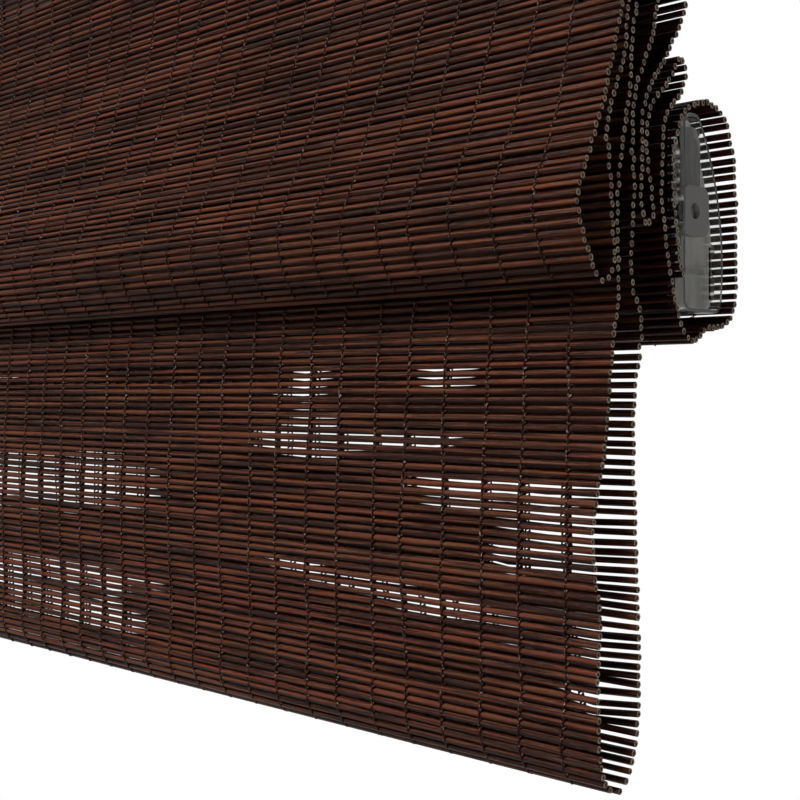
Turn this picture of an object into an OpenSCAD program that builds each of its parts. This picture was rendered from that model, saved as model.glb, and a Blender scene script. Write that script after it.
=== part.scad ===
// Woven bamboo roman blind, drawn up: one reed mat hangs from a headrail, stacks in loose
// folds and wraps a spring-lift bottom rail. +X runs along the reeds, +Y points to the wall.

/* [Blind] */
// Width of the mat, which is the length of a reed
blind_width = 610; // [450:5:900]
// Height from the headrail's underside down to the bottom rail's top
rail_hang = 96; // [95:1:220]
// Depth that the skirt hangs below the bottom rail
skirt_drop = 122; // [108:1:180]
// Height of the front fold's top over the bottom rail
fold_rise = 89.5; // [80:0.5:92]

/* [Reed mat] */
// Diameter of one reed
reed_d = 1.8; // [1.5:0.1:2]
// Spacing of the reeds along the mat
reed_pitch = 2.35; // [2.2:0.05:2.8]
// Thickness of the mat between two reeds
web_t = 0.5; // [0.4:0.1:0.8]
// Height of a gap that light shows through
gap_h = 0.5; // [0.3:0.1:0.7]
// Length of closed mat between two gaps
gap_bridge = 14; // [8:1:20]
// Distance from a side edge of the mat to the first gap
gap_margin = 65; // [45:1:90]

/* [Headrail] */
// Depth of the headrail board from front to back
headrail_depth = 48; // [44:1:64]
// Thickness of the headrail board
headrail_t = 20; // [16:1:26]
// Diameter of the cord holes through the board
cord_hole_d = 4; // [3:0.5:6]
// Diameter of the counterbore that a cord stop sits in
stop_seat_d = 10; // [8:0.5:14]
// Depth of that counterbore
stop_seat_depth = 6; // [4:0.5:9]

/* [Wall brackets] */
// Thickness of the bracket's steel strip
bracket_t = 2.5; // [1.5:0.5:4]
// Width of the bracket's strip
bracket_w = 24; // [18:1:36]
// Height of the leg on the wall
bracket_h = 36; // [32:1:60]
// Inside radius of the bracket's bend
bend_r = 3; // [1:0.5:5]
// Distance from a side edge of the blind to the middle of a bracket
bracket_inset = 75; // [30:5:90]
// Diameter of the wall screw holes
wall_hole_d = 4.5; // [3.5:0.5:6]
// Vertical distance between a bracket's two wall holes
wall_hole_spacing = 16; // [12:1:22]
// Diameter of the wood screws into the board
wood_screw_d = 3.5; // [3:0.5:4.5]
// Length of the wood screws under the head
wood_screw_len = 16; // [10:1:18]
// Distance between a bracket's two wood screws
wood_screw_spacing = 24; // [18:1:30]

/* [Bottom rail] */
// Height of the bottom rail
rail_h = 53.5; // [50:0.5:60]
// Greatest depth of the bottom rail from front to back
rail_depth = 19.5; // [18.5:0.5:22]
// Depth of the bottom rail at its top
rail_top_depth = 9; // [8:0.5:12]
// Wall of the bottom rail's tube
rail_wall = 1.2; // [1:0.1:1.6]
// Corner radius of the bottom rail
rail_corner_r = 3.5; // [3.2:0.1:4]
// How far the end caps sit inside the ends of the reeds
cap_recess = 3; // [1:0.5:8]
// Thickness of an end cap's outer plate
cap_plate_t = 2; // [1.5:0.5:3]
// Height of an end cap's rim over its plate
cap_rim_h = 3.1; // [2.5:0.1:5]
// Length of an end cap's plug inside the tube
cap_plug_len = 12; // [8:1:20]
// Diameter of the screw hole through an end cap's boss
cap_hole_d = 4.4; // [3:0.2:6]

/* [Spring lift] */
// Distance from a side edge of the blind to a lift cord
cord_inset = 105; // [95:5:150]
// Diameter of a lift cord
cord_d = 1.2; // [0.8:0.1:1.6]
// Diameter of the lift shaft
shaft_d = 3; // [2.5:0.1:3.4]
// Diameter of a spool's barrel
spool_barrel_d = 6; // [5:0.5:7]
// Diameter of a spool's flanges
spool_flange_d = 13; // [11:0.5:14]
// Length of a spool's barrel between the flanges
spool_len = 50; // [36:1:60]
// Height of the shaft over the bottom of the rail
shaft_rise = 12; // [11.5:0.5:14]
// Distance from the shaft up to the storage drum's axle
drum_rise = 12.4; // [12.2:0.1:13.4]
// Width of the flat spring
spring_w = 16; // [10:1:24]
// Outside diameter of the flat spring's coil
spring_coil_d = 11.6; // [9:0.2:11.8]
// Outside diameter of a sewn cord ring
ring_d = 13; // [11.5:0.5:14]
// Diameter of a cord ring's own section
ring_wire_d = 2; // [1.4:0.2:2.4]

/* [Hidden] */
$fn = 48;

// Clearances: pieces that rest on each other, plugs that slide in, and shafts that turn
rest_gap = 0.1;
seat_gap = 0.3;
plug_gap = 0.15;
run_gap = 0.06;

// Levels of the headrail; the middle of the wall holes is at the origin
board_top = -bracket_h / 2 - bracket_t;
board_back = -bracket_t;
board_front = board_back - headrail_depth;
panel_y = board_front - reed_d / 2 - rest_gap;
bracket_xs = [-1, 1] * (blind_width / 2 - bracket_inset);

// Faces of the bottom rail
panel_to_rail = 23;
rail_front = panel_y + panel_to_rail;
rail_back = rail_front + rail_depth;
rail_top = board_top - headrail_t - rail_hang;
rail_bottom = rail_top - rail_h;
rail_end = blind_width / 2 - cap_recess - cap_rim_h - cap_plate_t;
skirt_bottom = rail_bottom - skirt_drop;
// The mat wraps the rail loosely, so its route is measured from lines a little off the rail's faces
route_top = rail_top - 1;
route_bottom = rail_bottom - 3;
route_back = rail_back - 1.5;

// Lift mechanism
shaft_z = rail_bottom + shaft_rise;
axle_z = shaft_z + drum_rise;
lift_xs = [-1, 1] * (blind_width / 2 - cord_inset);
frame_inset = rail_wall + plug_gap;
floor_z = rail_bottom + frame_inset;
case_cover_t = 1.2;
drum_flange_d = spring_coil_d;
drum_space = drum_flange_d / 2 + seat_gap;
case_front = rail_front + frame_inset + case_cover_t + rest_gap;
shaft_y = case_front + drum_space;
cord_y = shaft_y - (spool_barrel_d + cord_d) / 2;

// Points of the mat's middle line [y, z], measured from the rail's front or back face and from
// its top, its bottom, the front fold's top or the hem, whichever carries that stretch of mat
function at_top(a, b) = [rail_front + a, route_top + b];
function at_bottom(a, b) = [rail_front + a, route_bottom + b];
function at_fold(a, b) = [rail_front + a, rail_top + fold_rise + b];
function at_hem(a, b) = [rail_front + a, skirt_bottom + b];
function at_back_top(a, b) = [route_back + a, route_top + b];
function at_back_bottom(a, b) = [route_back + a, route_bottom + b];

// The flat panel from the headrail down to the belly of the front fold
panel_route = [
    [panel_y, board_top], at_top(-23, 90), at_top(-23, 76), at_top(-24, 54), at_top(-27.5, 37),
    at_top(-31.2, 23), at_top(-34.6, 10.5), at_top(-39.2, -3.5), at_top(-45.2, -18),
    at_top(-48.4, -26), at_top(-47.8, -33), at_top(-45.3, -40)];
// The front fold, from its belly up behind the panel to the upper cord ring
fold_route = [
    at_top(-40.4, -46.7), at_top(-36.3, -45.5), at_top(-34.6, -41.5), at_top(-34.5, -35),
    at_top(-35.2, -21), at_top(-37.2, -10), at_top(-35.8, -3), at_top(-32.4, 4.5), at_top(-29.4, 12),
    at_top(-28.7, 23), at_top(-25.5, 35), at_top(-21.8, 44), at_top(-19, 55), at_fold(-17, -22.5),
    at_fold(-14, -10.5), at_fold(-9.5, -3), at_fold(-5.5, 0), at_fold(-2.4, -3)];
// The front of the skirt, down to the hem
skirt_front_route = [
    at_fold(-4.2, -6.5), at_fold(-8, -9.5), at_fold(-11, -16.5), at_fold(-13, -27.5), at_top(-15.5, 51),
    at_top(-19, 39), at_top(-22.2, 30.5), at_top(-25, 23.5), at_top(-26.6, 16.5), at_top(-27.2, 7),
    at_top(-28.2, 0), at_top(-30.2, -9), at_top(-31.6, -19),
    at_top(-32.2, -29), at_bottom(-32.5, 15), at_bottom(-32.8, 5.5), at_bottom(-34.2, -5.5),
    at_bottom(-35.4, -19.5), at_bottom(-36.7, -45.5), at_bottom(-37.1, -69.5),
    at_hem(-36.2, 24.5), at_hem(-37, 11.5), at_hem(-35.5, 4)];
// The back of the skirt, from the hem up to the middle cord ring
skirt_back_route = [
    at_hem(-31.5, 0), at_hem(-27.5, 3), at_hem(-24.4, 11.5), at_hem(-23.9, 22.5),
    at_bottom(-24.4, -71.5), at_bottom(-25.2, -45.5), at_bottom(-25.6, -20.5),
    at_bottom(-24, -9.5), at_bottom(-22.8, -3), at_bottom(-23.8, 2.5), at_bottom(-26.8, 9),
    at_top(-27.2, -37), at_top(-26, -25), at_top(-25.8, -17), at_top(-26, -8), at_top(-24.8, 2),
    at_top(-22, 9.5), at_top(-18, 17.5), at_top(-16, 25), at_top(-14.5, 31.5), at_top(-10.5, 37),
    at_top(-5.4, 36.6), at_top(-2.4, 31.5)];
// The small fold behind the skirt, up to the lower cord ring
small_fold_route = [
    at_top(-3.6, 25), at_top(-7, 18.8), at_top(-11.5, 12.2), at_top(-17.5, 6), at_top(-21, 0.5),
    at_top(-22.4, -6), at_top(-22.6, -15), at_top(-22.8, -23), at_top(-22.4, -28.5),
    at_top(-20.2, -31.4), at_top(-17.8, -29), at_top(-17.6, -24), at_top(-18.8, -17.5),
    at_top(-19.6, -10), at_top(-19.1, -3.5), at_top(-15.5, 2.3), at_top(-10.5, 7), at_top(-7.8, 10.5),
    at_top(-5.6, 13.6), at_top(-2.9, 12.4), at_top(-2.4, 9.2)];
// Down in front of the rail, under it, up its back, over its top and down to the lapped end
wrap_route = [
    at_top(-5.5, 4), at_top(-10, 0.2), at_top(-12.6, -4.5), at_top(-13.4, -14), at_top(-12.7, -24),
    at_bottom(-11.4, 24.5), at_bottom(-10, 14.5), at_bottom(-7.6, 5.5), at_bottom(-5, -0.5),
    at_bottom(-1.5, -4.3), at_bottom(1.6, -5.2), at_bottom(4.5, -3.6), at_bottom(8, -1.4),
    at_back_bottom(-6, -1.3), at_back_bottom(-0.5, 0.1), at_back_bottom(3.5, 4.5),
    at_back_bottom(5.6, 14.5), at_back_top(5, -25), at_back_top(3, -10.5), at_back_top(-0.7, -0.2),
    at_back_top(-6.5, 3.4), at_top(5.5, 3.8), at_top(-0.5, 1.8), at_top(-4.8, -2.5),
    at_top(-7, -9.5), at_top(-7.2, -18), at_bottom(-6.8, 25.5), at_bottom(-5.4, 16),
    at_bottom(-2.8, 9.5)];
mat_route = concat(panel_route, fold_route, skirt_front_route, skirt_back_route,
    small_fold_route, wrap_route);

// A smooth curve through the route's points, with a few steps between each two
curve_steps = 6;
function curve_point(p0, p1, p2, p3, u) =
    0.5 * (2 * p1 + (p2 - p0) * u + (2 * p0 - 5 * p1 + 4 * p2 - p3) * u * u
        + (3 * p1 - p0 - 3 * p2 + p3) * u * u * u);
function curve_through(p) = let (last = len(p) - 1) concat(
    [for (i = [0 : last - 1], k = [0 : curve_steps - 1])
        curve_point(p[max(i - 1, 0)], p[i], p[i + 1], p[min(i + 2, last)], k / curve_steps)],
    [p[last]]);
function lengths_along(p) =
    [for (i = 0, s = 0; i < len(p); i = i + 1, s = s + (i < len(p) ? norm(p[i] - p[i - 1]) : 0)) s];

mat_curve = curve_through(mat_route);
mat_lengths = lengths_along(mat_curve);
mat_y_table = [for (i = [0 : len(mat_curve) - 1]) [mat_lengths[i], mat_curve[i][0]]];
mat_z_table = [for (i = [0 : len(mat_curve) - 1]) [mat_lengths[i], mat_curve[i][1]]];
mat_length = mat_lengths[len(mat_lengths) - 1];
function mat_at(s) = [lookup(s, mat_y_table), lookup(s, mat_z_table)];
function mat_across(s) =
    let (d = mat_at(s + reed_d / 2) - mat_at(s - reed_d / 2)) [-d[1], d[0]] / norm(d);

// Reeds are counted from the headrail; each stretch of mat is a range of them
function reeds_to(point_count) = round(mat_lengths[point_count * curve_steps] / reed_pitch);
panel_end = reeds_to(len(panel_route));
fold_end = reeds_to(len(panel_route) + len(fold_route));
hem_reed = reeds_to(len(panel_route) + len(fold_route) + len(skirt_front_route));
mat_end = floor(mat_length / reed_pitch);

// One face of the mat: a crest on each reed and a valley between two reeds
function mat_face(first, last, side) = concat(
    [for (k = [first : last - 1], crest = [0, 1])
        let (s = (k + crest / 2) * reed_pitch)
        mat_at(s) + side * mat_across(s) * (crest == 1 ? reed_d : web_t) / 2],
    [mat_at(last * reed_pitch) + side * mat_across(last * reed_pitch) * web_t / 2]);
function reversed(list) = [for (i = [len(list) - 1 : -1 : 0]) list[i]];

// Places a flat [y, z] outline so that it runs along X from x0 for the given length
module along_x(x0, length) {
    translate([x0, 0, 0]) rotate([90, 0, 90]) linear_extrude(height = length) children();
}
module round_rod(x0, length, d, y, z) {
    translate([x0, y, z]) rotate([0, 90, 0]) cylinder(h = length, d = d);
}
module rounded_outline(y0, z0, w, h, r) {
    hull_points = [[y0 + r, z0 + r], [y0 + w - r, z0 + r], [y0 + r, z0 + h - r], [y0 + w - r, z0 + h - r]];
    union() {
        translate([y0 + r, z0]) square([w - 2 * r, h]);
        translate([y0, z0 + r]) square([w, h - 2 * r]);
        for (p = hull_points) translate(p) circle(r = r);
    }
}

// Reed mat
module mat_stretch(first, last) {
    along_x(-blind_width / 2, blind_width)
        polygon(concat(mat_face(first, last, 1), reversed(mat_face(first, last, -1))));
}
module front_panel() {
    color([0.20, 0.10, 0.07]) mat_stretch(0, panel_end);
}
module front_fold() {
    color([0.18, 0.09, 0.06]) mat_stretch(panel_end, fold_end);
}
// Slots between the reeds where the skirt lets light through
gap_rows = 6;
gap_columns = 10;
gap_row_step = 7;
gap_first_row = 6;
gap_pitch = (blind_width - 2 * gap_margin) / gap_columns;
module light_gap(valley, x) {
    across = mat_across(valley * reed_pitch);
    p = mat_at(valley * reed_pitch);
    translate([x, p[0], p[1]]) rotate([atan2(across[1], across[0]), 0, 0])
        cube([gap_pitch - gap_bridge, 3 * web_t, gap_h], center = true);
}
module light_gaps() {
    for (side = [-1, 1], row = [0 : gap_rows - 1], column = [0 : gap_columns - 1])
        light_gap(hem_reed + side * (gap_first_row + row * gap_row_step),
            (column - (gap_columns - 1) / 2 + (row % 2) / 4) * gap_pitch);
}
// Notch in the wrap where a lift cord comes up out of the rail
cord_notch = 5;
module folded_stack() {
    color([0.22, 0.11, 0.08]) difference() {
        mat_stretch(fold_end, mat_end);
        light_gaps();
        for (x = lift_xs)
            translate([x - cord_notch / 2, cord_y - cord_notch / 2, rail_top + rail_wall])
                cube([cord_notch, cord_notch, cord_notch + reed_d]);
    }
}

// Headrail
module headrail_board() {
    color([0.62, 0.46, 0.30]) difference() {
        translate([-blind_width / 2, board_front, board_top - headrail_t])
            cube([blind_width, headrail_depth, headrail_t]);
        for (x = lift_xs) translate([x, cord_y, board_top]) {
            translate([0, 0, -headrail_t - 1]) cylinder(h = headrail_t + 2, d = cord_hole_d);
            translate([0, 0, -stop_seat_depth]) cylinder(h = stop_seat_depth + 1, d = stop_seat_d);
        }
        for (x = bracket_xs, y = wood_screw_ys)
            translate([x, y, board_top - wood_screw_len])
                cylinder(h = wood_screw_len + 1, d = wood_screw_d);
    }
}
wood_screw_ys = [board_back - headrail_depth / 2 - wood_screw_spacing / 2,
    board_back - headrail_depth / 2 + wood_screw_spacing / 2];
bracket_setback = 4;
bracket_reach = headrail_depth + bracket_t - bracket_setback;
module wall_bracket(x) {
    outer_r = bend_r + bracket_t;
    color([0.75, 0.75, 0.76]) difference() {
        along_x(x - bracket_w / 2, bracket_w) union() {
            translate([-bracket_t, board_top + outer_r])
                square([bracket_t, bracket_h / 2 - board_top - outer_r]);
            translate([-bracket_reach, board_top]) square([bracket_reach - outer_r, bracket_t]);
            translate([-outer_r, board_top + outer_r]) intersection() {
                difference() {
                    circle(r = outer_r);
                    circle(r = bend_r);
                }
                translate([0, -outer_r]) square(outer_r);
            }
        }
        for (z = [-1, 1] * wall_hole_spacing / 2)
            translate([x, -bracket_t - 1, z]) rotate([-90, 0, 0])
                cylinder(h = bracket_t + 2, d = wall_hole_d);
        for (y = wood_screw_ys) translate([x, y, board_top - 1])
            cylinder(h = bracket_t + 2, d = wood_screw_d + 2 * seat_gap);
    }
}
module wall_bracket_left() { wall_bracket(bracket_xs[0]); }
module wall_bracket_right() { wall_bracket(bracket_xs[1]); }
// Pan-head wood screws through the brackets into the board
screw_head_h = 2;
screw_head_d = 7;
screw_slot = 1;
module bracket_screws() {
    color([0.80, 0.79, 0.74])
        for (x = bracket_xs, y = wood_screw_ys)
            translate([x, y, board_top]) difference() {
                union() {
                    translate([0, 0, -wood_screw_len + rest_gap])
                        cylinder(h = wood_screw_len + bracket_t, d = wood_screw_d - 2 * run_gap);
                    translate([0, 0, bracket_t + rest_gap]) cylinder(h = screw_head_h, d = screw_head_d);
                }
                translate([-screw_head_d / 2, -screw_slot / 2, bracket_t + screw_head_h / 2 + rest_gap])
                    cube([screw_head_d, screw_slot, screw_head_h]);
            }
}

// Lift cords, each held by a crimped stop in the headrail and wound on a spool in the rail
stop_h = 4;
stop_d = stop_seat_d - 1.6;
module cord_stop(x) {
    color([0.78, 0.64, 0.32]) translate([x, cord_y, board_top - stop_seat_depth + rest_gap])
        difference() {
            cylinder(h = stop_h, d = stop_d);
            translate([0, 0, -1]) cylinder(h = stop_h + 2, d = cord_d + 2 * run_gap);
        }
}
module cord_stop_left() { cord_stop(lift_xs[0]); }
module cord_stop_right() { cord_stop(lift_xs[1]); }
module lift_cord(x) {
    color([0.30, 0.18, 0.12]) translate([x, cord_y, shaft_z])
        cylinder(h = board_top - stop_seat_depth + stop_h - shaft_z, d = cord_d);
}
module lift_cord_left() { lift_cord(lift_xs[0]); }
module lift_cord_right() { lift_cord(lift_xs[1]); }
// Rings sewn behind the three fold tops, with the cords running through them
function last_of(list) = list[len(list) - 1];
ring_points = [last_of(fold_route), last_of(skirt_back_route), last_of(small_fold_route)];
ring_offset = reed_d / 2 + seat_gap + ring_d / 2;
module cord_rings() {
    color([0.88, 0.87, 0.83])
        for (x = lift_xs, p = ring_points) translate([x, p[0] + ring_offset, p[1]])
            rotate_extrude() translate([(ring_d - ring_wire_d) / 2, 0]) circle(d = ring_wire_d);
}

// Section of the bottom rail [y, z], flat in front and curved at the back, drawn in by the inset
arc_steps = 12;
low_z = rail_bottom + rail_corner_r;
high_z = rail_top - rail_corner_r;
// The back bulges most at a share of the rail's height, and its radius brings it to the depth at the top
bulge_share = 0.243;
bulge_z = rail_bottom + rail_h * bulge_share;
bulge_rise = high_z - bulge_z;
bulge_reach = rail_depth - rail_top_depth + rail_corner_r;
rail_back_r = (pow(bulge_reach, 2) + pow(bulge_rise, 2) - pow(rail_corner_r, 2))
    / (2 * (bulge_reach - rail_corner_r));
back_centre = [rail_back - rail_back_r, bulge_z];
function arc_points(centre, r, from, to, first, last) =
    [for (i = [first : last])
        let (a = from + (to - from) * i / arc_steps) centre + r * [cos(a), sin(a)]];
function back_corner(z) =
    [back_centre[0] + sqrt(pow(rail_back_r - rail_corner_r, 2) - pow(z - back_centre[1], 2)), z];
function back_angle(p) = atan2(p[1] - back_centre[1], p[0] - back_centre[0]);
function rail_section(inset) =
    let (r = rail_corner_r - inset, low = back_corner(low_z), high = back_corner(high_z))
    concat(
        arc_points([rail_front + rail_corner_r, low_z], r, 180, 270, 0, arc_steps),
        arc_points(low, r, -90, back_angle(low), 0, arc_steps),
        arc_points(back_centre, rail_back_r - inset, back_angle(low), back_angle(high), 1, arc_steps - 1),
        arc_points(high, r, back_angle(high), 90, 0, arc_steps),
        arc_points([rail_front + rail_corner_r, high_z], r, 90, 180, 0, arc_steps));

// Bottom rail
module bottom_rail_tube() {
    color([0.22, 0.17, 0.14]) difference() {
        along_x(-rail_end, 2 * rail_end) polygon(rail_section(0));
        along_x(-rail_end - 1, 2 * rail_end + 2) polygon(rail_section(rail_wall));
        for (x = lift_xs) translate([x, cord_y, rail_top - 2 * rail_wall])
            cylinder(h = 4 * rail_wall, d = bush_d + 2 * run_gap);
    }
}
// Clear end cap: a plate with a thin rim, a screw boss, a pad above it, a rib below it and a plug
cap_rim_t = 0.9;
boss_h = 13.6;
boss_depth = 12.2;
boss_corner_r = 3;
boss_sink = 0.5;
pad_depth = 10;
pad_h = 1.5;
rib_t = 1.4;
rib_h = 0.8;
plug_wall = 1.5;
key_slot_w = 1.4;
key_slot_h = 14.6;
key_slot_drop = 2;
boss_lift = 0.6;
hole_shift = 0.7;
module end_cap(side) {
    mid_z = rail_bottom + rail_h / 2 + boss_lift;
    plate_x = rail_end + rest_gap;
    boss_y = rail_front + cap_rim_t;
    hole_y = boss_y + boss_depth / 2 - hole_shift;
    pad_z = mid_z + boss_h / 2;
    slot_top = mid_z - boss_h / 2 - key_slot_drop;
    color([0.80, 0.82, 0.82, 0.6]) mirror([side < 0 ? 1 : 0, 0, 0]) difference() {
        union() {
            along_x(plate_x, cap_plate_t) polygon(rail_section(0));
            along_x(plate_x, cap_plate_t + cap_rim_h - rest_gap) difference() {
                polygon(rail_section(0));
                polygon(rail_section(cap_rim_t));
            }
            along_x(plate_x, cap_plate_t + cap_rim_h - boss_sink)
                rounded_outline(boss_y, mid_z - boss_h / 2, boss_depth, boss_h, boss_corner_r);
            translate([plate_x, rail_front + cap_rim_t / 2, pad_z - boss_corner_r])
                cube([cap_plate_t + pad_h, pad_depth, high_z - pad_z + boss_corner_r]);
            translate([plate_x, rail_front + cap_rim_t / 2, slot_top - key_slot_h / 2 - rib_t / 2])
                cube([cap_plate_t + rib_h, boss_depth + cap_rim_t, rib_t]);
            along_x(plate_x - cap_plug_len, cap_plug_len + rest_gap) difference() {
                polygon(rail_section(frame_inset));
                polygon(rail_section(frame_inset + plug_wall));
            }
        }
        round_rod(plate_x - 1, cap_plate_t + cap_rim_h + 2, cap_hole_d, hole_y, mid_z);
        translate([plate_x - 1, rail_back - cap_rim_t - rest_gap - key_slot_w, slot_top - key_slot_h])
            cube([cap_plate_t + 2, key_slot_w, key_slot_h]);
    }
}
module end_cap_left() { end_cap(-1); }
module end_cap_right() { end_cap(1); }
// Smooth bush that leads a cord out of the rail's top
bush_d = 4.2;
bush_rise = 1;
module cord_bush(x) {
    color([0.90, 0.89, 0.85]) translate([x, cord_y, rail_top - 2 * rail_wall]) difference() {
        cylinder(h = 2 * rail_wall + bush_rise, d = bush_d);
        translate([0, 0, -1]) cylinder(h = 2 * rail_wall + bush_rise + 2, d = cord_d + 4 * seat_gap);
    }
}
module cord_bush_left() { cord_bush(lift_xs[0]); }
module cord_bush_right() { cord_bush(lift_xs[1]); }

// Spring lift inside the rail
cradle_wall = 3;
cradle_base = 2;
cradle_rise = 6;
spool_flange_t = 1.5;
spool_total = spool_len + 2 * spool_flange_t;
// A slice of the rail's inside, with clearance, between two heights
module rail_filler(x0, length, y0, z0, z1) {
    intersection() {
        along_x(x0, length) polygon(rail_section(frame_inset));
        translate([x0 - 1, y0, z0]) cube([length + 2, rail_depth, z1 - z0]);
    }
}
module spool_cradle(x) {
    half = spool_total / 2 + seat_gap;
    outer = half + cradle_wall;
    color([0.86, 0.85, 0.82]) difference() {
        union() {
            rail_filler(x - outer, 2 * outer, rail_front, rail_bottom, floor_z + cradle_base);
            for (x0 = [x - outer, x + half])
                rail_filler(x0, cradle_wall, rail_front, rail_bottom, shaft_z + cradle_rise);
        }
        round_rod(x - outer - 1, 2 * outer + 2, shaft_d + 2 * run_gap, shaft_y, shaft_z);
    }
}
module spool_cradle_left() { spool_cradle(lift_xs[0]); }
module spool_cradle_right() { spool_cradle(lift_xs[1]); }
module cord_spool(x) {
    color([0.93, 0.92, 0.88]) difference() {
        union() {
            round_rod(x - spool_total / 2, spool_total, spool_barrel_d - 2 * run_gap, shaft_y, shaft_z);
            for (x0 = [x - spool_total / 2, x + spool_len / 2])
                round_rod(x0, spool_flange_t, spool_flange_d, shaft_y, shaft_z);
        }
        round_rod(x - spool_total / 2 - 1, spool_total + 2, shaft_d, shaft_y, shaft_z);
    }
}
module cord_spool_left() { cord_spool(lift_xs[0]); }
module cord_spool_right() { cord_spool(lift_xs[1]); }
shaft_overhang = 4;
module lift_shaft() {
    half = lift_xs[1] + spool_total / 2 + cradle_wall + shaft_overhang;
    color([0.72, 0.72, 0.74]) round_rod(-half, 2 * half, shaft_d, shaft_y, shaft_z);
}

// Spring motor: the flat spring winds from the storage drum on to the power drum
case_wall = 1.5;
drum_flange_t = 1;
drum_len = spring_w + 2 * drum_flange_t + 2 * plug_gap;
case_half = drum_len / 2 + seat_gap;
drum_barrel_d = 6;
case_outer = case_half + case_wall;
case_top = axle_z + drum_space + case_wall;
axle_d = 2.4;
module motor_case() {
    color([0.25, 0.26, 0.28]) difference() {
        rail_filler(-case_outer, 2 * case_outer, case_front, rail_bottom, case_top);
        translate([-case_half, case_front - 1, shaft_z - drum_space])
            cube([2 * case_half, shaft_y + drum_space - case_front + 1, drum_rise + 2 * drum_space]);
        round_rod(-case_outer - 1, 2 * case_outer + 2, shaft_d + 2 * run_gap, shaft_y, shaft_z);
        round_rod(-case_outer - 1, 2 * case_outer + 2, axle_d, shaft_y, axle_z);
    }
}
module motor_cover() {
    color([0.30, 0.31, 0.33]) difference() {
        rail_filler(-case_outer, 2 * case_outer, rail_front, rail_bottom, case_top);
        translate([-case_outer - 1, case_front - rest_gap, rail_bottom])
            cube([2 * case_outer + 2, rail_depth, rail_h]);
    }
}
module drum_axle() {
    color([0.72, 0.72, 0.74])
        round_rod(-case_outer, 2 * case_outer, axle_d, shaft_y, axle_z);
}
module flanged_drum(bore_d, z) {
    difference() {
        union() {
            round_rod(-drum_len / 2, drum_len, drum_barrel_d, shaft_y, z);
            for (x0 = [-drum_len / 2, drum_len / 2 - drum_flange_t])
                round_rod(x0, drum_flange_t, drum_flange_d, shaft_y, z);
        }
        round_rod(-drum_len / 2 - 1, drum_len + 2, bore_d, shaft_y, z);
    }
}
module power_drum() {
    color([0.92, 0.55, 0.15]) flanged_drum(shaft_d, shaft_z);
}
module storage_drum() {
    color([0.92, 0.90, 0.84]) flanged_drum(axle_d + 2 * run_gap, axle_z);
}
// The coil of flat steel on the storage drum
module flat_spring() {
    color([0.60, 0.62, 0.66]) difference() {
        round_rod(-spring_w / 2, spring_w, spring_coil_d - 2 * seat_gap, shaft_y, axle_z);
        round_rod(-spring_w / 2 - 1, spring_w + 2, drum_barrel_d, shaft_y, axle_z);
    }
}

front_panel();
front_fold();
folded_stack();
headrail_board();
wall_bracket_left();
wall_bracket_right();
bracket_screws();
cord_stop_left();
cord_stop_right();
lift_cord_left();
lift_cord_right();
cord_rings();
bottom_rail_tube();
end_cap_left();
end_cap_right();
cord_bush_left();
cord_bush_right();
spool_cradle_left();
spool_cradle_right();
motor_case();
motor_cover();
drum_axle();
lift_shaft();
cord_spool_left();
cord_spool_right();
power_drum();
storage_drum();
flat_spring();
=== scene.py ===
"""Woven bamboo roman blind: reeds, twined threads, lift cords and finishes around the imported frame."""

import bmesh
import bpy
import numpy as np
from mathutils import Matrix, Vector


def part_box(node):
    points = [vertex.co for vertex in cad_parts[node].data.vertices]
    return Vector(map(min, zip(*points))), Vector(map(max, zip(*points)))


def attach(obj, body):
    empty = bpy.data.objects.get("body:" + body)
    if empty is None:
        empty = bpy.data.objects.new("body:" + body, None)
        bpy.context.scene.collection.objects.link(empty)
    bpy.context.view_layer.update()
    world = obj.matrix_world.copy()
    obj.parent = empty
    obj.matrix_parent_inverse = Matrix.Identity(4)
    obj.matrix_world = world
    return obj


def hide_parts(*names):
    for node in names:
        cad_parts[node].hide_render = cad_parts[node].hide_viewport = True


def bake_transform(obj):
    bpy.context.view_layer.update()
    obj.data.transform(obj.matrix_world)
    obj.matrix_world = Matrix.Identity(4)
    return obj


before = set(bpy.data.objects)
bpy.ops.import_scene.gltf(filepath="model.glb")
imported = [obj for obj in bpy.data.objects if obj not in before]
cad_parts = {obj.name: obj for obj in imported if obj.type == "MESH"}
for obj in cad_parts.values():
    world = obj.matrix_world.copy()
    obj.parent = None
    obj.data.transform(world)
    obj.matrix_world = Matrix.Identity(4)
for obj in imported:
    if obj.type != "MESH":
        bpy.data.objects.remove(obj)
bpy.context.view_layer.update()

bl_info = {
    "name": "Woven bamboo blind",
    "version": (1, 0, 0),
    "blender": (4, 5, 0),
    "location": "3D View > Sidebar > Blind",
    "description": "Dresses a folded reed blind with reeds, threads, cords and finishes",
    "category": "Object",
}

MM = 0.001
HALF_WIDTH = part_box("front_panel")[1][0]

# Distance from the blind's middle to the outer edge of an end cap's rim, the depths below that edge between
# which the plate, the pad and the boss begin, and how near to the edge a face of the rim reaches
CAP_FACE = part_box("end_cap_right")[1][0]
PLATE_DEPTHS = (3.4 * MM, 3.15 * MM)
PAD_DEPTHS = (2.6 * MM, 1.8 * MM)
BOSS_DEPTHS = (1.3 * MM, 0.7 * MM)
RIM_MARGIN = 0.1 * MM


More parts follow.
